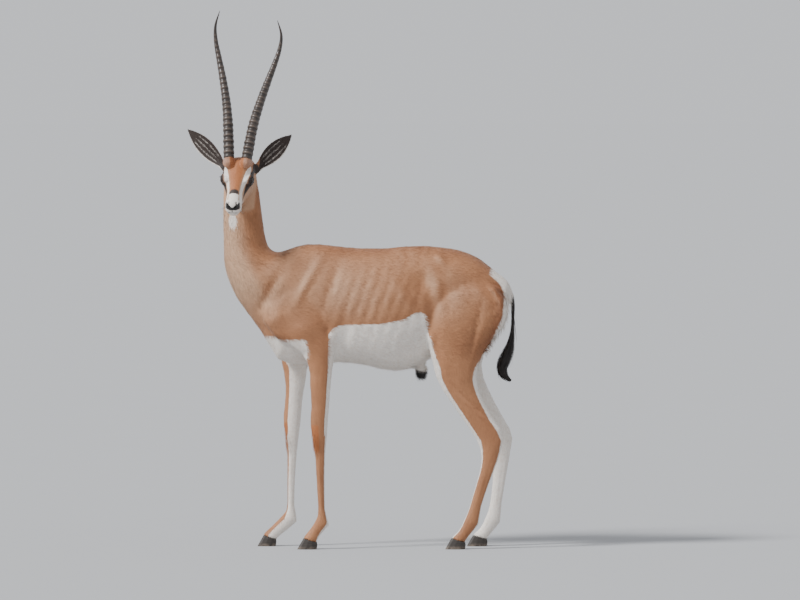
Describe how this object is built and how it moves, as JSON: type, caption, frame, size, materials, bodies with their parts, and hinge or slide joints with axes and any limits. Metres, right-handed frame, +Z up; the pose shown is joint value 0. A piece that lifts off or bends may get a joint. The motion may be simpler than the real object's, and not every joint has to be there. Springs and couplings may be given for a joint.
{
  "type": "gazelle",
  "caption": "Life-size still model of a standing male gazelle with tall ringed horns, looking over its left side, as a museum shows one.",
  "frame": {"origin": "middle of the whole part's box seen from above, on the ground under the hooves", "axes": "+Z up; the body heads towards -X; its left flank faces -Y, and so does the face"},
  "size_m": [0.9856, 0.2686, 1.6119],
  "materials": {
    "coat": "short flat fur",
    "tail_hair": "long soft hair",
    "eye": "wet gloss",
    "horn": "ringed, worn to a sheen",
    "hoof": "dry and matt"
  },
  "bodies": {
    "root": {"torso": "coat", "neck": "coat", "head": "coat", "ear_left": "coat", "ear_right": "coat", "foreleg_left": "coat", "foreleg_right": "coat", "hindleg_left": "coat", "hindleg_right": "coat", "sheath": "coat", "tail": "tail_hair", "eye_left": "eye", "eye_right": "eye", "horn_left": "horn", "horn_right": "horn", "claw_foreleg_left_inner": "hoof", "claw_foreleg_left_outer": "hoof", "claw_foreleg_right_inner": "hoof", "claw_foreleg_right_outer": "hoof", "claw_hindleg_left_inner": "hoof", "claw_hindleg_left_outer": "hoof", "claw_hindleg_right_inner": "hoof", "claw_hindleg_right_outer": "hoof"}
  },
  "joints": []
}
